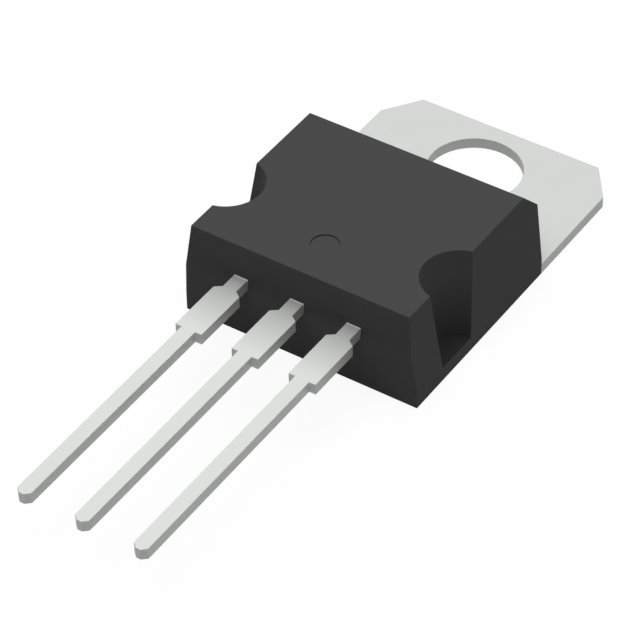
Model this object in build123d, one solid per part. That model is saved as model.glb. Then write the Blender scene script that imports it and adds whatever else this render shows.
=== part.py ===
from build123d import *
import math
import os

# A triac in a three lead plastic power package with a bare metal tab. Sizes are millimetres.
# The origin is the centre of the mounting hole, on the flat metal back of the tab.
# +Z points up out of the front face of the moulding, and the leads run out along -Y.

# The stamped copper sheet that every metal part of the frame is cut from
sheet_thickness = 0.50
lead_pitch = 2.54
lead_underside_height = 2.45

# The tab and its mounting hole
tab_width = 10.54
tab_length = 6.36
tab_corner_width = 1.10
tab_corner_length = 1.54
hole_diameter = 3.97
hole_to_tab_end = 2.76

# The part of the tab inside the moulding, which carries the chip
pad_width = 8.40
pad_front_setback = 2.90
pad_lock_width = 0.25
pad_lock_height = 0.20

# The leads outside the moulding
lead_length = 13.70
lead_neck_width = 0.62
lead_neck_length = 0.72
lead_shoulder_length = 0.21
lead_wide_width = 1.19
lead_wide_end = 3.43
lead_narrow_width = 0.62
lead_tip_width = 0.20
lead_tip_length = 0.19

# The leads inside the moulding
lead_inner_setback = 0.40
centre_strip_width = 1.30
bend_radius = 0.50
bend_low_setback = 0.40
bend_run = 1.50
paddle_width = 2.30
paddle_length = 1.40
paddle_offset = 0.20

# The moulded body
body_length = 9.28
body_height = 4.35
draft_angle = 6.0
lower_draft_angle = 5.2
land_height = 0.80
back_chamfer = 0.94
notch_top_radius = 1.54
notch_draft_angle = 8.3
notch_lean_angle = 2.2
notch_floor_height = 0.64
notch_setback = 3.11
pin_mark_diameter = 1.17
pin_mark_depth = 0.07
pin_mark_setback = 2.00

# The chip and the solder under it
chip_size = 3.60
chip_thickness = 0.30
chip_setback = 6.00
solder_thickness = 0.08
solder_margin = 0.15

# The bond wires from the chip to the two outer leads
power_wire_diameter = 0.50
gate_wire_diameter = 0.20
power_bond_offset = 0.45
gate_bond_offset = 1.20
bond_foot_length_ratio = 2.0
bond_foot_width_ratio = 1.35
bond_foot_thickness_ratio = 0.5
bond_press_ratio = 0.3
wire_loop_clearance = 0.60
wire_rise_run = 1.80
wire_fall_run = 0.80
wire_bend_ratio = 0.8

# Heights and positions that follow from the sizes above
body_width = tab_width
body_back_y = hole_to_tab_end - tab_length
body_front_y = body_back_y - body_length
lead_top_height = lead_underside_height + sheet_thickness
lead_mid_height = lead_underside_height + sheet_thickness / 2
lead_inner_y = body_front_y + lead_inner_setback
lead_end_y = body_front_y - lead_length
pad_front_y = body_front_y + pad_front_setback
chip_y = body_front_y + chip_setback
chip_top_height = sheet_thickness + solder_thickness + chip_thickness
paddle_y = lead_inner_y + paddle_length / 2


def mirrored_outline(right_edge):
    """A face from the points of its right edge, listed upwards, and their mirror image."""
    left_edge = [(-x, y) for x, y in reversed(right_edge)]
    return Polygon(*right_edge, *left_edge, align=None)


def lead_outline(centre_x):
    """Plan outline of one lead, from inside the moulding out to its chamfered tip."""
    neck = lead_neck_width / 2
    wide = lead_wide_width / 2
    narrow = lead_narrow_width / 2
    tip = lead_tip_width / 2
    neck_end_y = body_front_y - lead_neck_length
    shoulder_end_y = neck_end_y - lead_shoulder_length
    step_y = body_front_y - lead_wide_end
    tip_start_y = lead_end_y + lead_tip_length
    overlap_y = lead_inner_y + paddle_length / 2
    right_edge = [
        (tip, lead_end_y),
        (narrow, tip_start_y),
        (narrow, step_y),
        (wide, step_y),
        (wide, shoulder_end_y),
        (neck, neck_end_y),
        (neck, overlap_y),
    ]
    return Pos(centre_x, 0) * mirrored_outline(right_edge)


def outer_lead(side):
    """An outer lead, flat all along, ending inside the moulding in a wire bonding paddle."""
    centre_x = side * lead_pitch
    paddle_x = centre_x + side * paddle_offset
    paddle = Pos(paddle_x, paddle_y) * Rectangle(paddle_width, paddle_length)
    plan = lead_outline(centre_x) + paddle
    return Pos(0, 0, lead_underside_height) * extrude(plan, sheet_thickness)


def tab_outline():
    """Plan outline of the bare tab, with its two corners cut off."""
    side_x = tab_width / 2
    end_x = side_x - tab_corner_width
    corner_y = hole_to_tab_end - tab_corner_length
    return mirrored_outline([(side_x, body_back_y), (side_x, corner_y), (end_x, hole_to_tab_end)])


def pad_outline():
    """Plan outline of the chip pad, the narrower part of the tab inside the moulding."""
    pad_length = body_back_y - pad_front_y
    return Pos(0, pad_front_y + pad_length / 2) * Rectangle(pad_width, pad_length)


def bent_sheet():
    """The sheet bent up from the level of the tab to the level of the leads."""
    low_bend_y = pad_front_y - bend_low_setback
    high_bend_y = low_bend_y - bend_run
    tab_end = (0, hole_to_tab_end, sheet_thickness / 2)
    low_bend = (0, low_bend_y, sheet_thickness / 2)
    high_bend = (0, high_bend_y, lead_mid_height)
    lead_end = (0, lead_end_y, lead_mid_height)
    path = FilletPolyline(tab_end, low_bend, high_bend, lead_end, radius=bend_radius)
    start = Plane(origin=tab_end, x_dir=(1, 0, 0), z_dir=(0, -1, 0))
    return sweep(start * Rectangle(tab_width, sheet_thickness), path=path)


def tab_and_centre_lead():
    """Tab, chip pad and centre lead, stamped and bent from the sheet as one piece."""
    strip_length = pad_front_y - lead_inner_y + bend_low_setback
    strip_y = lead_inner_y + strip_length / 2
    strip = Pos(0, strip_y) * Rectangle(centre_strip_width, strip_length)
    plan = tab_outline() + pad_outline() + strip + lead_outline(0)
    piece = bent_sheet() & extrude(plan, lead_top_height)
    piece -= Cylinder(hole_diameter / 2, sheet_thickness, align=(Align.CENTER, Align.CENTER, Align.MIN))
    lock_length = body_back_y - pad_front_y
    lock_y = pad_front_y + lock_length / 2
    lock_x = (pad_width - pad_lock_width) / 2
    lock = Box(pad_lock_width, lock_length, pad_lock_height, align=(Align.CENTER, Align.CENTER, Align.MIN))
    piece -= Pos(lock_x, lock_y) * lock
    piece -= Pos(-lock_x, lock_y) * lock
    return piece


def chip_solder():
    """The layer of soft solder that fixes the chip to its pad."""
    size = chip_size + 2 * solder_margin
    layer = Box(size, size, solder_thickness, align=(Align.CENTER, Align.CENTER, Align.MIN))
    return Pos(0, chip_y, sheet_thickness) * layer


def silicon_chip():
    """The square silicon chip."""
    block = Box(chip_size, chip_size, chip_thickness, align=(Align.CENTER, Align.CENTER, Align.MIN))
    return Pos(0, chip_y, sheet_thickness + solder_thickness) * block


def bond_wire(start, end, diameter):
    """A round wire looped from start to end, pressed flat onto the metal at both ends."""
    run = Vector(end.X - start.X, end.Y - start.Y, 0)
    along = run.normalized()
    heading = math.degrees(math.atan2(along.Y, along.X))
    foot_length = diameter * bond_foot_length_ratio
    foot_width = diameter * bond_foot_width_ratio
    half_foot = along * (foot_length / 2)
    centre_lift = Vector(0, 0, diameter * bond_press_ratio)
    loop_height = lead_top_height + wire_loop_clearance
    rise = start + along * wire_rise_run
    fall = end - along * wire_fall_run
    path = FilletPolyline(
        start - half_foot + centre_lift,
        start + half_foot + centre_lift,
        Vector(rise.X, rise.Y, loop_height),
        Vector(fall.X, fall.Y, loop_height),
        end - half_foot + centre_lift,
        end + half_foot + centre_lift,
        radius=diameter * wire_bend_ratio,
    )
    section = Plane(origin=path @ 0, z_dir=path % 0) * Circle(diameter / 2)
    wire = sweep(section, path=path)
    foot = extrude(SlotOverall(foot_length, foot_width), diameter * bond_foot_thickness_ratio)
    below = Box(
        foot_length + 2 * diameter,
        foot_width,
        diameter,
        align=(Align.CENTER, Align.CENTER, Align.MAX),
    )
    for point in (start, end):
        place = Pos(point) * Rot(0, 0, heading)
        wire = wire + place * foot
        wire = wire - place * below
    return wire


def power_bond_wire():
    """The thick aluminium wire from the chip to the left outer lead."""
    start = Vector(-power_bond_offset, chip_y, chip_top_height)
    end = Vector(-lead_pitch - paddle_offset, paddle_y, lead_top_height)
    return bond_wire(start, end, power_wire_diameter)


def gate_bond_wire():
    """The thin aluminium wire from the corner of the chip to the right outer lead."""
    start = Vector(gate_bond_offset, chip_y - gate_bond_offset, chip_top_height)
    end = Vector(lead_pitch + paddle_offset, paddle_y, lead_top_height)
    return bond_wire(start, end, gate_wire_diameter)


def moulding_blank():
    """The moulding as two drafted profiles crossed: one seen from the side, one from the front."""
    upper_height = body_height - lead_underside_height
    top_front_y = body_front_y + upper_height * math.tan(math.radians(draft_angle))
    lower_height = lead_underside_height - land_height
    land_front_y = body_front_y + lower_height * math.tan(math.radians(lower_draft_angle))
    side_profile = Polygon(
        (land_front_y, 0),
        (body_back_y, 0),
        (body_back_y, body_height - back_chamfer),
        (body_back_y - back_chamfer, body_height),
        (top_front_y, body_height),
        (body_front_y, lead_underside_height),
        (land_front_y, land_height),
        align=None,
    )
    side_x = body_width / 2
    top_x = side_x - (body_height - land_height) * math.tan(math.radians(draft_angle))
    front_profile = mirrored_outline([(side_x, 0), (side_x, land_height), (top_x, body_height)])
    along_x = extrude(Plane.YZ * side_profile, body_width / 2, both=True)
    along_y = extrude(Plane.XZ.offset(-body_back_y) * front_profile, body_length)
    return along_x & along_y


def side_notch(side):
    """The tapered half round pocket in one side, open at the top, which leans back as it rises."""
    depth = body_height - notch_floor_height
    slope = math.tan(math.radians(notch_draft_angle))
    overrun = notch_top_radius * math.tan(math.radians(notch_lean_angle))
    bottom_radius = notch_top_radius - (depth + overrun) * slope
    top_radius = notch_top_radius + overrun * slope
    cone = Cone(bottom_radius, top_radius, depth + 2 * overrun)
    leaned = Rot(-notch_lean_angle, 0, 0) * Pos(0, 0, -depth / 2) * cone
    above_floor = Box(
        4 * notch_top_radius,
        4 * notch_top_radius,
        2 * depth,
        align=(Align.CENTER, Align.CENTER, Align.MIN),
    )
    mouth_centre = Pos(side * body_width / 2, body_front_y + notch_setback, body_height)
    return mouth_centre * (leaned & Pos(0, 0, -depth) * above_floor)


def pin_mark():
    """The shallow round mark left in the top face by an ejector pin of the mould."""
    mark = Cylinder(pin_mark_diameter / 2, pin_mark_depth, align=(Align.CENTER, Align.CENTER, Align.MAX))
    return Pos(0, body_front_y + pin_mark_setback, body_height) * mark


def mould_body(inserts):
    """The black moulding, cast round everything inside it, which is joined up first as one form."""
    inner_form = inserts[0]
    for insert in inserts[1:]:
        inner_form += insert
    return moulding_blank() - side_notch(-1) - side_notch(1) - pin_mark() - inner_form


def main():
    inserts = {
        "tab_and_centre_lead": tab_and_centre_lead(),
        "a1_lead": outer_lead(-1),
        "gate_lead": outer_lead(1),
        "chip_solder": chip_solder(),
        "silicon_chip": silicon_chip(),
        "a1_bond_wire": power_bond_wire(),
        "gate_bond_wire": gate_bond_wire(),
    }
    pieces = dict(inserts)
    pieces["mould_body"] = mould_body(list(inserts.values()))
    os.makedirs("parts", exist_ok=True)
    for name, piece in pieces.items():
        export_step(piece, f"parts/{name}.step")


main()
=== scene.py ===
import math

import bmesh
import bpy
from mathutils import Matrix, Vector
from mathutils.bvhtree import BVHTree


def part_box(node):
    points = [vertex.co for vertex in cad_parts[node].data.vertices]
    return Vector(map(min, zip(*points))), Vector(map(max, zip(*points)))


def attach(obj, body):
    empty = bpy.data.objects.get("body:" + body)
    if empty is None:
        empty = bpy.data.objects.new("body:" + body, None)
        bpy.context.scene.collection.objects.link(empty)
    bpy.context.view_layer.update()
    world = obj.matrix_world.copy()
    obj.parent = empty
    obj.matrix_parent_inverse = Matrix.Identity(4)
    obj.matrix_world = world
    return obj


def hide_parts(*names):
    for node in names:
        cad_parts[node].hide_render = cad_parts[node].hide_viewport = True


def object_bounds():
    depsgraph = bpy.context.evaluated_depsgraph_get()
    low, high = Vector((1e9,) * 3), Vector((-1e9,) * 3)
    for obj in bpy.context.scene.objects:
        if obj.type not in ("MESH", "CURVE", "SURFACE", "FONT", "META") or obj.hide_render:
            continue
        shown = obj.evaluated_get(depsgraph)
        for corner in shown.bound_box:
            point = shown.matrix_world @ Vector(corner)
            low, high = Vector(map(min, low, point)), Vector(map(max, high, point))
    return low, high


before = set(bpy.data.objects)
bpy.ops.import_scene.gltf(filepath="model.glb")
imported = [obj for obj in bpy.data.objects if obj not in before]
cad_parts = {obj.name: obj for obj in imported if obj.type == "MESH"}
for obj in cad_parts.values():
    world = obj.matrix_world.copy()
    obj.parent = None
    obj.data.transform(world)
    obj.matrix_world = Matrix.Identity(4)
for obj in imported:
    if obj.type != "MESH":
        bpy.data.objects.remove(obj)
cad_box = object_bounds()

# The studio: a pale floor under a soft white dome that shines mostly from overhead, and a camera
# that looks down over the lead tips at the marked face. Sizes are in millimetres.
MM = 0.001
CAMERA_AZIMUTH = math.radians(34.399)
CAMERA_ELEVATION = math.radians(41.708)
CAMERA_ROLL = math.radians(-1.280)
CAMERA_DISTANCE = 130.20
CAMERA_AIM_FROM_CENTRE = Vector((-1.4540, 2.1441, -2.9993))
CAMERA_LENS = 189.72
CAMERA_SENSOR = 36.0
CAMERA_NEAREST = 10.0
CAMERA_FARTHEST = 10000.0
FLOOR_SIZE = 4000.0
FLOOR_GREY = 0.50
FLOOR_SHOWN_GREY = 0.10
FLOOR_GLOW = 0.91
DOME_PEAK = 4.66
DOME_FALL = 6.0


def new_material(name):
    """An empty material: the material itself, its node tree and its output node."""
    material = bpy.data.materials.new(name)
    material.use_nodes = True
    tree = material.node_tree
    tree.nodes.clear()
    return material, tree, tree.nodes.new("ShaderNodeOutputMaterial")


def add_node(tree, kind, inputs=None, **settings):
    """One node with its settings, and its inputs as values or as the sockets that feed them."""
    node = tree.nodes.new(kind)
    for setting, value in settings.items():
        setattr(node, setting, value)
    for socket, value in (inputs or {}).items():
        if isinstance(value, bpy.types.NodeSocket):
            tree.links.new(value, node.inputs[socket])
        else:
            node.inputs[socket].default_value = value
    return node


def math_node(tree, operation, first, second):
    """The result of one sum on two values."""
    return add_node(tree, "ShaderNodeMath", {0: first, 1: second}, operation=operation).outputs[0]


def seen_directly(tree):
    """1 for a ray that sees a surface from the camera, in a reflection or through glass, else 0."""
    ray = add_node(tree, "ShaderNodeLightPath")
    first = math_node(tree, "MAXIMUM", ray.outputs["Is Camera Ray"], ray.outputs["Is Glossy Ray"])
    return math_node(tree, "MAXIMUM", first, ray.outputs["Is Transmission Ray"])


def lay_floor(level):
    """A wide pale floor, plain white to look at, that keeps the shadow of what stands on it."""
    material, tree, output = new_material("pale_floor")
    seen = seen_directly(tree)
    grey = add_node(tree, "ShaderNodeMix", {"Factor": seen, "A": FLOOR_GREY, "B": FLOOR_SHOWN_GREY})
    surface = add_node(tree, "ShaderNodeBsdfDiffuse", {"Color": grey.outputs["Result"]})
    glow = math_node(tree, "MULTIPLY", seen, FLOOR_GLOW)
    glowing = add_node(tree, "ShaderNodeEmission", {"Strength": glow})
    both = add_node(tree, "ShaderNodeAddShader", {0: surface.outputs[0], 1: glowing.outputs[0]})
    tree.links.new(both.outputs[0], output.inputs["Surface"])
    half = FLOOR_SIZE * MM / 2
    quarters = ((-1, -1), (1, -1), (1, 1), (-1, 1))
    corners = [(half * x, half * y, level) for x, y in quarters]
    mesh = bpy.data.meshes.new("floor")
    mesh.from_pydata(corners, [], [(0, 1, 2, 3)])
    mesh.materials.append(material)
    floor = bpy.data.objects.new("floor", mesh)
    bpy.context.scene.collection.objects.link(floor)


def hang_dome():
    """A dome that lights from overhead and fades to the horizon, and is plain white to look at."""
    world = bpy.data.worlds.new("dome")
    world.use_nodes = True
    bpy.context.scene.world = world
    tree = world.node_tree
    tree.nodes.clear()
    direction = add_node(tree, "ShaderNodeTexCoord").outputs["Generated"]
    height = add_node(tree, "ShaderNodeSeparateXYZ", {0: direction}).outputs["Z"]
    above = math_node(tree, "MAXIMUM", height, 0.0)
    faded = math_node(tree, "POWER", above, DOME_FALL)
    light = math_node(tree, "MULTIPLY", faded, DOME_PEAK)
    level = add_node(tree, "ShaderNodeMix", {"Factor": seen_directly(tree), "A": light, "B": 1.0})
    dome = add_node(tree, "ShaderNodeBackground", {"Strength": level.outputs["Result"]})
    tree.links.new(dome.outputs[0], add_node(tree, "ShaderNodeOutputWorld").inputs["Surface"])


def set_camera(centre):
    """A long lens that looks down at the part from the front right."""
    level_out = math.cos(CAMERA_ELEVATION)
    back = Vector((
        math.sin(CAMERA_AZIMUTH) * level_out,
        -math.cos(CAMERA_AZIMUTH) * level_out,
        math.sin(CAMERA_ELEVATION),
    ))
    right = Vector((math.cos(CAMERA_AZIMUTH), math.sin(CAMERA_AZIMUTH), 0))
    up = back.cross(right)
    rolled_right = right * math.cos(CAMERA_ROLL) + up * math.sin(CAMERA_ROLL)
    rolled_up = up * math.cos(CAMERA_ROLL) - right * math.sin(CAMERA_ROLL)
    lens = bpy.data.cameras.new("camera")
    lens.sensor_fit = "VERTICAL"
    lens.sensor_height = CAMERA_SENSOR
    lens.lens = CAMERA_LENS
    lens.clip_start = CAMERA_NEAREST * MM
    lens.clip_end = CAMERA_FARTHEST * MM
    camera = bpy.data.objects.new("camera", lens)
    place = Matrix((rolled_right, rolled_up, back)).transposed().to_4x4()
    place.translation = centre + (CAMERA_AIM_FROM_CENTRE + back * CAMERA_DISTANCE) * MM
    camera.matrix_world = place
    bpy.context.scene.collection.objects.link(camera)
    bpy.context.scene.camera = camera


low, high = (Vector(corner) for corner in cad_box)
lay_floor(low.z)
hang_dome()
set_camera((low + high) / 2)
bpy.context.scene.view_settings.view_transform = "Standard"

# The stamped frame: the tab with its chip pad and centre lead, and two outer leads, cut from one
# strip of copper sheet and plated with matt tin, smooth on the flats and scored on the cut edges,
# whose darker colour is partly that scored finish and partly painted shade on the sides.
# Painted shade darkens the leads next to the moulding, and they grow whitest towards the tips.
STAMPED_EDGE = 0.020
FLAT_ANGLE = math.radians(1)
SHARP_ANGLE = math.radians(25)
TOUCHING = 0.002
JOINING = 0.0001
ROUNDING_STEPS = 2
LEVEL_NORMAL = 0.5
TIN_FLAT_COLOURS = ((0.690, 0.703, 0.688), (0.719, 0.732, 0.717))
# The cut-edge colours are darker than the flats', partly for the scored finish and partly as
# painted shade on the sides.
TIN_SCORED_AND_SHADED_COLOURS = ((0.540, 0.552, 0.538), (0.572, 0.583, 0.570))
# These two triples paint shade on the leads next to the moulding: the level there, the level at the
# tips, and the length in mm between.
TIN_FLAT_PAINTED_SHADE = (0.52, 1.09, 3.20)
TIN_CUT_PAINTED_SHADE = (0.60, 1.10, 3.60)
TIN_METAL = 0.12
TIN_ROUGHNESS = (0.41, 0.49)
TIN_FLAT_LINES = (14.0, 0.5, 14.0)
TIN_CUT_LINES = (12.0, 12.0, 1.2)
TIN_GRAIN = (18.0, 18.0, 18.0)
TIN_CLOUDS = (0.8, 0.8, 0.8)
TIN_CLOUD_DETAIL = 3.0
TIN_RELIEF = (0.25, 0.002)
PLAIN_DETAIL = 2.0
PATTERN_DARK = 0.3
PATTERN_LIGHT = 0.7
MIX_FIRST_COLOUR, MIX_SECOND_COLOUR, MIX_COLOUR_RESULT = 6, 7, 2


def merged_copy(node):
    """The faces of a CAD node joined up, with each flat made one face."""
    form = bmesh.new()
    form.from_mesh(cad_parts[node].data)
    bmesh.ops.remove_doubles(form, verts=form.verts, dist=JOINING * MM)
    bmesh.ops.dissolve_limit(form, angle_limit=FLAT_ANGLE, verts=form.verts, edges=form.edges)
    return form


def other_surfaces(node):
    """A search tree of every CAD surface but this node's."""
    points, faces = [], []
    for name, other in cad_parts.items():
        if name != node:
            first = len(points)
            points += [vertex.co for vertex in other.data.vertices]
            faces += [[first + corner for corner in face.vertices] for face in other.data.polygons]
    return BVHTree.FromPolygons(points, faces)


def mark_free_edges(form, node, share=lambda middle: 1.0):
    """Marks each sharp edge that lies against no other part, to be rounded by its share."""
    weights = form.edges.layers.float.new("bevel_weight_edge")
    others = other_surfaces(node)
    for line in form.edges:
        if len(line.link_faces) == 2 and line.calc_face_angle(0) > SHARP_ANGLE:
            middle = (line.verts[0].co + line.verts[1].co) / 2
            if others.find_nearest(middle)[3] > TOUCHING * MM:
                line[weights] = share(middle)


def plain_mesh(piece):
    """Makes what a piece's modifiers show its own mesh, and takes the modifiers off."""
    shown = piece.evaluated_get(bpy.context.evaluated_depsgraph_get())
    piece.data = bpy.data.meshes.new_from_object(shown)
    piece.data.name = piece.name
    piece.modifiers.clear()
    return piece


def rounded_piece(form, name, edge, materials):
    """A piece with its marked edges rounded, smooth over the rounds and flat on the flats."""
    for face in form.faces:
        face.smooth = True
    mesh = bpy.data.meshes.new(name)
    form.to_mesh(mesh)
    form.free()
    mesh.set_sharp_from_angle(angle=SHARP_ANGLE)
    for material in materials:
        mesh.materials.append(material)
    piece = bpy.data.objects.new(name, mesh)
    bpy.context.scene.collection.objects.link(piece)
    rounding = piece.modifiers.new("rounding", "BEVEL")
    rounding.limit_method = "WEIGHT"
    rounding.width = edge * MM
    rounding.segments = ROUNDING_STEPS
    flats = piece.modifiers.new("flats", "WEIGHTED_NORMAL")
    flats.keep_sharp = True
    return plain_mesh(piece)


def grain(tree, place, per_mm, detail=PLAIN_DETAIL):
    """A cloudy pattern, with so many grains to the millimetre along each axis."""
    scale = [number / MM for number in per_mm]
    scaled = add_node(tree, "ShaderNodeMapping", {"Vector": place, "Scale": scale})
    cloudy = {"Vector": scaled.outputs[0], "Scale": 1.0, "Detail": detail}
    return add_node(tree, "ShaderNodeTexNoise", cloudy).outputs["Fac"]


def bumps(tree, height, relief):
    """The small bumps of a pattern, by their strength and their depth in millimetres."""
    strength, depth = relief
    raised = {"Height": height, "Strength": strength, "Distance": depth * MM}
    return add_node(tree, "ShaderNodeBump", raised).outputs[0]


def between(tree, amount, colours):
    """A colour that moves from the first to the second of two as amount goes from 0 to 1."""
    first, second = ((*colour, 1) for colour in colours)
    mix = add_node(tree, "ShaderNodeMix", {"Factor": amount}, data_type="RGBA")
    mix.inputs[MIX_FIRST_COLOUR].default_value = first
    mix.inputs[MIX_SECOND_COLOUR].default_value = second
    return mix.outputs[MIX_COLOUR_RESULT]


def spread(tree, amount, low_high):
    """A value that moves across a range as a cloudy pattern goes from its dark to its light."""
    low_value, high_value = low_high
    return add_node(tree, "ShaderNodeMapRange", {
        "Value": amount, "From Min": PATTERN_DARK, "From Max": PATTERN_LIGHT,
        "To Min": low_value, "To Max": high_value,
    }).outputs[0]


def scaled_colour(tree, colour, level):
    """A colour made darker or lighter by a level."""
    scaled = {0: colour, "Scale": level}
    return add_node(tree, "ShaderNodeVectorMath", scaled, operation="SCALE").outputs[0]


def painted_moulding_shade(tree, place, colour, rise):
    """The plate's colour with painted shade on a lead, whose level rises from the moulding over a
    length in mm.
    """
    painted_shade_at_moulding, at_tips, length = rise
    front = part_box("mould_body")[0].y
    along = add_node(tree, "ShaderNodeSeparateXYZ", {0: place}).outputs["Y"]
    # Painted shade: the colour level is lowest next to the moulding and rises out along the lead.
    on_leads = add_node(tree, "ShaderNodeMapRange", {
        "Value": along, "From Min": front - length * MM, "From Max": front,
        "To Min": at_tips, "To Max": painted_shade_at_moulding,
    })
    on_tab = math_node(tree, "GREATER_THAN", along, front)
    level = add_node(tree, "ShaderNodeMix", {"Factor": on_tab, "A": on_leads.outputs[0], "B": 1.0})
    return scaled_colour(tree, colour, level.outputs["Result"])


def matt_tin(name, colours, lines, rise):
    """Matt tin plate: fine even grain, over the faint lines that the press left in the metal, with
    painted shade on the leads next to the moulding.
    """
    material, tree, output = new_material(name)
    place = add_node(tree, "ShaderNodeTexCoord").outputs["Object"]
    lined = grain(tree, place, lines)
    clouds = grain(tree, place, TIN_CLOUDS, TIN_CLOUD_DETAIL)
    height = math_node(tree, "ADD", grain(tree, place, TIN_GRAIN), lined)
    tin = add_node(tree, "ShaderNodeBsdfPrincipled", {
        "Base Color": painted_moulding_shade(tree, place, between(tree, clouds, colours), rise),
        "Metallic": TIN_METAL,
        "Roughness": spread(tree, lined, TIN_ROUGHNESS),
        "Normal": bumps(tree, height, TIN_RELIEF),
    })
    tree.links.new(tin.outputs[0], output.inputs["Surface"])
    return material


def stamped_piece(node, name):
    """A tinned stamping: its flats in one finish and its cut edges in the other, which is darker
    partly for its scored finish and partly as painted shade on the sides.
    """
    form = merged_copy(node)
    mark_free_edges(form, node)
    for face in form.faces:
        # Upright faces take the cut-edge finish, darker partly as painted shade on the sides.
        face.material_index = 0 if abs(face.normal.z) > LEVEL_NORMAL else 1
    piece = rounded_piece(form, name, STAMPED_EDGE, tin_finishes)
    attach(piece, "root")
    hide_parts(node)


tin_finishes = [
    matt_tin("matt_tin_flat_painted_shade", TIN_FLAT_COLOURS, TIN_FLAT_LINES, TIN_FLAT_PAINTED_SHADE),
    matt_tin("matt_tin_cut_edge_scored_and_painted_shade", TIN_SCORED_AND_SHADED_COLOURS, TIN_CUT_LINES, TIN_CUT_PAINTED_SHADE),
]
stamped_piece("tab_and_centre_lead", "stamped_tab_and_centre_lead")
stamped_piece("a1_lead", "stamped_left_lead")
stamped_piece("gate_lead", "stamped_gate_lead")

# The solder: a thin layer of soft solder that ran out a little round the chip and set with a
# dull, grainy skin and rounded edges.
SOLDER_EDGE = 0.050
SOLDER_COLOURS = ((0.50, 0.50, 0.52), (0.60, 0.60, 0.61))
SOLDER_CRYSTALS = (9.0, 9.0, 9.0)
SOLDER_DETAIL = 4.0
SOLDER_RELIEF = (0.5, 0.004)
SOLDER_ROUGHNESS = (0.35, 0.55)


def dull_solder():
    """Soft solder, grey and grainy."""
    material, tree, output = new_material("dull_solder")
    place = add_node(tree, "ShaderNodeTexCoord").outputs["Object"]
    crystals = grain(tree, place, SOLDER_CRYSTALS, SOLDER_DETAIL)
    solder = add_node(tree, "ShaderNodeBsdfPrincipled", {
        "Base Color": between(tree, crystals, SOLDER_COLOURS),
        "Metallic": 1.0,
        "Roughness": spread(tree, crystals, SOLDER_ROUGHNESS),
        "Normal": bumps(tree, crystals, SOLDER_RELIEF),
    })
    tree.links.new(solder.outputs[0], output.inputs["Surface"])
    return material


form = merged_copy("chip_solder")
edge_weights = form.edges.layers.float.new("bevel_weight_edge")
solder_top = max(vertex.co.z for vertex in form.verts)
for line in form.edges:
    if all(solder_top - vertex.co.z < JOINING * MM for vertex in line.verts):
        line[edge_weights] = 1.0
solder = rounded_piece(form, "solder_layer", SOLDER_EDGE, [dull_solder()])
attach(solder, "root")
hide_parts("chip_solder")

# The chip: a square of silicon sawn from a wafer. Its face has a groove of glass round the rim,
# which seals the junctions, and inside it two films of aluminium: a small gate pad near one corner
# and the main pad that fills the rest.
CHIP_RIM = 0.12
CHIP_GLASS = 0.28
CHIP_GAP = 0.08
GATE_PAD = 0.62
GATE_PAD_OFFSET = 1.10
GLASS_RISE = 0.014
FACE_RISE = 0.004
FILM_RISE = 0.004
SILICON_COLOURS = ((0.15, 0.16, 0.19), (0.18, 0.19, 0.22))
GLASS_COLOURS = ((0.10, 0.13, 0.08), (0.13, 0.16, 0.10))
FILM_COLOURS = ((0.78, 0.78, 0.79), (0.84, 0.84, 0.85))
CHIP_RELIEF = (0.2, 0.001)
SILICON, GLASS, FILM = 0, 1, 2


def chip_finish(name, colours, per_mm, metal, roughness):
    """One of the finishes of the chip, with a fine pattern of so many grains to the millimetre."""
    material, tree, output = new_material(name)
    place = add_node(tree, "ShaderNodeTexCoord").outputs["Object"]
    pattern = grain(tree, place, per_mm)
    finish = add_node(tree, "ShaderNodeBsdfPrincipled", {
        "Base Color": between(tree, pattern, colours),
        "Metallic": metal,
        "Roughness": spread(tree, pattern, roughness),
        "Normal": bumps(tree, pattern, CHIP_RELIEF),
    })
    tree.links.new(finish.outputs[0], output.inputs["Surface"])
    return material


def raise_zone(form, inside, rise, finish):
    """Lifts the part of the chip's face that inside() picks, and gives it a finish."""
    top = max(vertex.co.z for vertex in form.verts)
    chosen = [
        face for face in form.faces
        if face.normal.z > LEVEL_NORMAL and top - face.calc_center_median().z < JOINING * MM
        and inside(face.calc_center_median())
    ]
    lifted = bmesh.ops.extrude_face_region(form, geom=chosen)["geom"]
    bmesh.ops.delete(form, geom=chosen, context="FACES_ONLY")
    corners = [item for item in lifted if isinstance(item, bmesh.types.BMVert)]
    bmesh.ops.translate(form, verts=corners, vec=(0, 0, rise * MM))
    for item in lifted:
        if isinstance(item, bmesh.types.BMFace):
            item.material_index = finish


def within(centre, half):
    """A test for points inside a square."""
    return lambda point: max(abs(point.x - centre.x), abs(point.y - centre.y)) < half


chip_low, chip_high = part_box("silicon_chip")
chip_centre = (chip_low + chip_high) / 2
chip_half = (chip_high.x - chip_low.x) / 2
glass_half = chip_half - CHIP_RIM * MM
face_half = glass_half - CHIP_GLASS * MM
gate_centre = chip_centre + Vector((GATE_PAD_OFFSET, -GATE_PAD_OFFSET, 0)) * MM
gate_half = GATE_PAD * MM / 2
moat_half = gate_half + CHIP_GAP * MM
in_glass = within(chip_centre, glass_half)
in_face = within(chip_centre, face_half)
in_gate = within(gate_centre, gate_half)
in_moat = within(gate_centre, moat_half)
in_main_pad = within(chip_centre, face_half - CHIP_GAP * MM)


def in_films(point):
    """A test for points on either of the chip's two films."""
    return in_gate(point) or (in_main_pad(point) and not in_moat(point))


def cuts(centre, gate):
    """The lines that divide the chip's face along one axis."""
    halves = (chip_half, glass_half, face_half, face_half - CHIP_GAP * MM)
    return sorted(
        [centre + sign * half for half in halves for sign in (-1, 1)]
        + [gate + sign * half for half in (gate_half, moat_half) for sign in (-1, 1)]
    )


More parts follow.
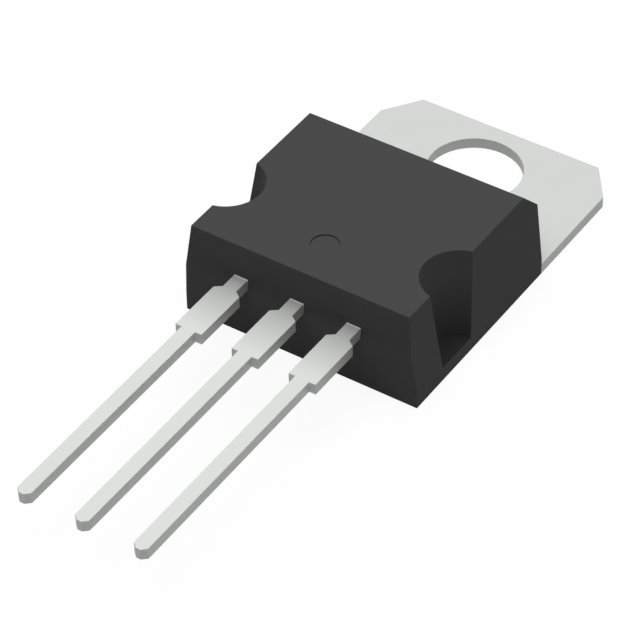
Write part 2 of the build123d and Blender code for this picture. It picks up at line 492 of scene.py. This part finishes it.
form = bmesh.new()
rim_level = chip_high.z - (GLASS_RISE + FACE_RISE + FILM_RISE) * MM
across, along = cuts(chip_centre.x, gate_centre.x), cuts(chip_centre.y, gate_centre.y)
grid = [[form.verts.new((x, y, rim_level)) for x in across] for y in along]
for row, next_row in zip(grid, grid[1:]):
    for i in range(len(across) - 1):
        form.faces.new((row[i], row[i + 1], next_row[i + 1], next_row[i]))
sides = bmesh.ops.extrude_face_region(form, geom=form.faces[:])["geom"]
for item in sides:
    if isinstance(item, bmesh.types.BMVert):
        item.co.z = chip_low.z
bmesh.ops.recalc_face_normals(form, faces=form.faces)
raise_zone(form, in_glass, GLASS_RISE, GLASS)
raise_zone(form, in_face, FACE_RISE, SILICON)
raise_zone(form, in_films, FILM_RISE, FILM)
form.edges.layers.float.new("bevel_weight_edge")
chip_finishes = [
    chip_finish(
        "sawn_silicon", SILICON_COLOURS, per_mm=(40.0, 40.0, 2.0), metal=0.0, roughness=(0.25, 0.40)
    ),
    chip_finish(
        "sealing_glass", GLASS_COLOURS, per_mm=(6.0, 6.0, 6.0), metal=0.0, roughness=(0.08, 0.15)
    ),
    chip_finish(
        "aluminium_film", FILM_COLOURS, per_mm=(25.0, 25.0, 25.0), metal=1.0, roughness=(0.25, 0.38)
    ),
]
chip = rounded_piece(form, "silicon_chip_with_films", STAMPED_EDGE, chip_finishes)
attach(chip, "root")
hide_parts("silicon_chip")

# The bond wires: drawn aluminium wire, pressed flat and welded by ultrasound to the chip at one end
# and to the lead's paddle at the other, with a loop between. The thick one carries the load to
# the left lead and the thin one joins the gate pad to the gate lead.
BOND_FOOT_LENGTH = 2.0
BOND_FOOT_WIDENING = 0.35
BOND_FOOT_FLATTENING = 0.40
BOND_PRESS = 0.3
BOND_BEND = 0.8
BOND_RISE_RUN = 1.80
BOND_FALL_RUN = 0.80
BOND_STEP = 0.25
BOND_FACETS = 20
BOND_BEND_STEPS = 6
PADDLE_LENGTH = 1.40
POWER_WIRE_DIAMETER = 0.50
POWER_WIRE_SPOT = Vector((-0.45, 0.0, 0.0))
GATE_WIRE_DIAMETER = 0.20
GATE_WIRE_SPOT = Vector((1.20, -1.20, 0.0))
WIRES = (
    ("a1_bond_wire", "power_bond_wire", "a1_lead", POWER_WIRE_DIAMETER, POWER_WIRE_SPOT),
    ("gate_bond_wire", "thin_gate_bond_wire", "gate_lead", GATE_WIRE_DIAMETER, GATE_WIRE_SPOT),
)
WIRE_COLOURS = ((0.78, 0.78, 0.79), (0.85, 0.85, 0.86))
WIRE_MARKS = (30.0, 6.0, 30.0)
WIRE_RELIEF = (0.2, 0.001)
WIRE_ROUGHNESS = (0.22, 0.34)


def drawn_aluminium():
    """Bright drawn aluminium wire, with fine marks."""
    material, tree, output = new_material("drawn_aluminium")
    place = add_node(tree, "ShaderNodeTexCoord").outputs["Object"]
    marks = grain(tree, place, WIRE_MARKS)
    wire = add_node(tree, "ShaderNodeBsdfPrincipled", {
        "Base Color": between(tree, marks, WIRE_COLOURS),
        "Metallic": 1.0,
        "Roughness": spread(tree, marks, WIRE_ROUGHNESS),
        "Normal": bumps(tree, marks, WIRE_RELIEF),
    })
    tree.links.new(wire.outputs[0], output.inputs["Surface"])
    return material


def vector_node(tree, operation, first, second):
    """The node for one sum on two vectors."""
    return add_node(tree, "ShaderNodeVectorMath", {0: first, 1: second}, operation=operation)


def bond_wire_tree():
    """Sweeps a round wire along its path and presses it flat at the two feet."""
    tree = bpy.data.node_groups.new("bond_wire", "GeometryNodeTree")
    sockets = (
        ("Geometry", "NodeSocketGeometry"),
        ("Diameter", "NodeSocketFloat"),
        ("Foot Length", "NodeSocketFloat"),
        ("Chip Foot", "NodeSocketVector"),
        ("Lead Foot", "NodeSocketVector"),
        ("Sideways", "NodeSocketVector"),
        ("Material", "NodeSocketMaterial"),
    )
    for name, kind in sockets:
        tree.interface.new_socket(name=name, in_out="INPUT", socket_type=kind)
    tree.interface.new_socket(name="Geometry", in_out="OUTPUT", socket_type="NodeSocketGeometry")
    given = tree.nodes.new("NodeGroupInput").outputs
    step = math_node(tree, "MULTIPLY", given["Diameter"], BOND_STEP)
    bend = math_node(tree, "MULTIPLY", given["Diameter"], BOND_BEND)
    radius = math_node(tree, "MULTIPLY", given["Diameter"], 0.5)
    path = add_node(tree, "GeometryNodeMeshToCurve", {0: given["Geometry"]}).outputs[0]
    bent = add_node(tree, "GeometryNodeFilletCurve", {
        "Curve": path, "Radius": bend, "Count": BOND_BEND_STEPS, "Limit Radius": True,
    }, mode="POLY").outputs[0]
    even = add_node(
        tree, "GeometryNodeResampleCurve", {"Curve": bent, "Length": step}, mode="LENGTH"
    ).outputs[0]
    spot = add_node(tree, "GeometryNodeInputPosition").outputs[0]
    marked = add_node(tree, "GeometryNodeStoreNamedAttribute", {
        "Geometry": even, "Name": "axis", "Value": spot,
    }, data_type="FLOAT_VECTOR", domain="POINT")
    ring = add_node(tree, "GeometryNodeCurvePrimitiveCircle", {
        "Resolution": BOND_FACETS, "Radius": radius,
    })
    swept = add_node(tree, "GeometryNodeCurveToMesh", {
        "Curve": marked.outputs[0], "Profile Curve": ring.outputs[0], "Fill Caps": True,
    }).outputs[0]
    axis = add_node(
        tree, "GeometryNodeInputNamedAttribute", {"Name": "axis"}, data_type="FLOAT_VECTOR"
    ).outputs["Attribute"]
    offset = vector_node(tree, "SUBTRACT", spot, axis).outputs[0]
    half_foot = math_node(tree, "MULTIPLY", given["Foot Length"], 0.5)
    clear_of_foot = math_node(tree, "ADD", half_foot, given["Diameter"])
    presses = []
    for foot in ("Chip Foot", "Lead Foot"):
        away = vector_node(tree, "DISTANCE", axis, given[foot])
        presses.append(add_node(tree, "ShaderNodeMapRange", {
            "Value": away.outputs["Value"], "From Min": half_foot, "From Max": clear_of_foot,
            "To Min": 1.0, "To Max": 0.0,
        }, interpolation_type="SMOOTHSTEP").outputs[0])
    pressed = math_node(tree, "MAXIMUM", *presses)
    beside = vector_node(tree, "DOT_PRODUCT", offset, given["Sideways"]).outputs["Value"]
    wider = math_node(tree, "MULTIPLY", beside, BOND_FOOT_WIDENING)
    spreading = math_node(tree, "MULTIPLY", wider, pressed)
    out = add_node(
        tree, "ShaderNodeVectorMath", {0: given["Sideways"], "Scale": spreading}, operation="SCALE"
    ).outputs[0]
    upwards = add_node(tree, "ShaderNodeSeparateXYZ", {0: offset}).outputs["Z"]
    lower = math_node(tree, "MULTIPLY", upwards, -BOND_FOOT_FLATTENING)
    sinking = math_node(tree, "MULTIPLY", lower, pressed)
    down = add_node(tree, "ShaderNodeCombineXYZ", {"Z": sinking}).outputs[0]
    shift = vector_node(tree, "ADD", out, down).outputs[0]
    shaped = add_node(tree, "GeometryNodeSetPosition", {"Geometry": swept, "Offset": shift})
    smooth = add_node(tree, "GeometryNodeSetShadeSmooth", {0: shaped.outputs[0]})
    real = add_node(tree, "GeometryNodeRealizeInstances", {0: smooth.outputs[0]})
    finish = {"Geometry": real.outputs[0], "Material": given["Material"]}
    finished = add_node(tree, "GeometryNodeSetMaterial", finish)
    tree.links.new(finished.outputs[0], tree.nodes.new("NodeGroupOutput").inputs[0])
    return tree


def bond_wire(tree, node, name, lead, diameter, chip_spot, material):
    """One wire from its spot on the chip to the middle of the lead's paddle."""
    lead_low, lead_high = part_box(lead)
    start = Vector((chip_centre.x, chip_centre.y, chip_high.z)) + chip_spot * MM
    paddle_x, paddle_y = (lead_low.x + lead_high.x) / 2, lead_high.y - PADDLE_LENGTH * MM / 2
    end = Vector((paddle_x, paddle_y, lead_high.z))
    heading = Vector((end.x - start.x, end.y - start.y, 0)).normalized()
    half_foot = heading * (BOND_FOOT_LENGTH * diameter * MM / 2)
    lift = Vector((0, 0, BOND_PRESS * diameter * MM))
    loop_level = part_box(node)[1].z - diameter * MM / 2
    rise = start + heading * BOND_RISE_RUN * MM
    fall = end - heading * BOND_FALL_RUN * MM
    points = [
        start - half_foot + lift, start + half_foot + lift,
        (rise.x, rise.y, loop_level), (fall.x, fall.y, loop_level),
        end - half_foot + lift, end + half_foot + lift,
    ]
    mesh = bpy.data.meshes.new(name)
    mesh.from_pydata(points, [(i, i + 1) for i in range(len(points) - 1)], [])
    wire = bpy.data.objects.new(name, mesh)
    bpy.context.scene.collection.objects.link(wire)
    sweep = wire.modifiers.new("sweep", "NODES")
    sweep.node_group = tree
    values = {
        "Diameter": diameter * MM, "Foot Length": BOND_FOOT_LENGTH * diameter * MM,
        "Chip Foot": start + lift, "Lead Foot": end + lift,
        "Sideways": Vector((-heading.y, heading.x, 0)), "Material": material,
    }
    for item in tree.interface.items_tree:
        if item.in_out == "INPUT" and item.name in values:
            sweep[item.identifier] = values[item.name]
    plain_mesh(wire)
    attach(wire, "root")
    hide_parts(node)


wire_tree = bond_wire_tree()
wire_aluminium = drawn_aluminium()
for node, name, lead, diameter, chip_spot in WIRES:
    bond_wire(wire_tree, node, name, lead, diameter, chip_spot, wire_aluminium)

# The moulding: black epoxy compound, full of fine silica, cast round the frame in a hot mould whose
# spark-eroded walls leave it matt. An ejector pin leaves the round mark, and cores form the two
# side pockets, which carry painted shade that grows blacker towards their floors.
MOULDED_EDGE = 0.016
PIN_MARK_EDGE_SHARE = 0.40
POCKET_DEPTH = 0.50
# The pocket walls are painted with shade, darkest below the low height and clearing above the clear
# height, and the pocket floors are painted darker still.
POCKET_LOW_HEIGHT = 1.20
POCKET_CLEAR_HEIGHT = 3.30
POCKET_WALL_PAINTED_SHADE = 0.62
POCKET_FLOOR_PAINTED_SHADE = 0.35
PIN_MARK_REACH = 0.90
PIN_MARK_FROM_FRONT = 2.00
MOULD_COLOURS = ((0.0680, 0.0680, 0.0685), (0.0740, 0.0740, 0.0745))
MOULD_ROUGHNESS = (0.56, 0.66)
MOULD_GLOSS = 0.03
MOULD_GRAIN = (14.0, 14.0, 14.0)
MOULD_GRAIN_DETAIL = 3.0
MOULD_CLOUDS = (0.7, 0.7, 0.7)
MOULD_RELIEF = (0.3, 0.004)


def deep_faces(form, depth):
    """The faces that some corner of the form stands in front of by more than a depth."""
    corners = [vertex.co.copy() for vertex in form.verts]
    found = []
    for face in form.faces:
        level = face.normal.dot(face.verts[0].co) + depth
        if any(face.normal.dot(corner) > level for corner in corners):
            found.append(face)
    return found


def mould_compound(name, low_level, high_level):
    """Black moulding compound, matt and finely grained, with a colour level low down and one higher
    up, which paint shade where they are set below 1.
    """
    material, tree, output = new_material(name)
    place = add_node(tree, "ShaderNodeTexCoord").outputs["Object"]
    eroded = grain(tree, place, MOULD_GRAIN, MOULD_GRAIN_DETAIL)
    clouds = grain(tree, place, MOULD_CLOUDS)
    shade = math_node(tree, "MULTIPLY", math_node(tree, "ADD", eroded, clouds), 0.5)
    # The level paints shade: it scales the colour from its low value low down to its high value
    # higher up.
    level = add_node(tree, "ShaderNodeMapRange", {
        "Value": add_node(tree, "ShaderNodeSeparateXYZ", {0: place}).outputs["Z"],
        "From Min": mould_low.z + POCKET_LOW_HEIGHT * MM,
        "From Max": mould_low.z + POCKET_CLEAR_HEIGHT * MM,
        "To Min": low_level, "To Max": high_level,
    })
    compound = add_node(tree, "ShaderNodeBsdfPrincipled", {
        "Base Color": scaled_colour(tree, between(tree, shade, MOULD_COLOURS), level.outputs[0]),
        "Roughness": spread(tree, eroded, MOULD_ROUGHNESS),
        "Specular IOR Level": MOULD_GLOSS,
        "Normal": bumps(tree, eroded, MOULD_RELIEF),
    })
    tree.links.new(compound.outputs[0], output.inputs["Surface"])
    return material


mould_low, mould_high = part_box("mould_body")
pin_mark = Vector((0, mould_low.y + PIN_MARK_FROM_FRONT * MM, mould_high.z))
form = merged_copy("mould_body")
mark_free_edges(
    form, "mould_body",
    lambda middle: PIN_MARK_EDGE_SHARE if (middle - pin_mark).length < PIN_MARK_REACH * MM else 1.0,
)
# The pocket walls and floors get the copies of the compound that are painted with shade.
for face in deep_faces(form, POCKET_DEPTH * MM):
    face.material_index = 2 if face.normal.z > LEVEL_NORMAL else 1
compounds = [
    mould_compound("black_mould_compound", 1.0, 1.0),
    mould_compound("black_mould_compound_pocket_walls_painted_shade", POCKET_WALL_PAINTED_SHADE, 1.0),
    mould_compound("black_mould_compound_pocket_floors_painted_shade", POCKET_FLOOR_PAINTED_SHADE, POCKET_FLOOR_PAINTED_SHADE),
]
moulding = rounded_piece(form, "cast_moulding", MOULDED_EDGE, compounds)
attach(moulding, "root")
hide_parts("mould_body")
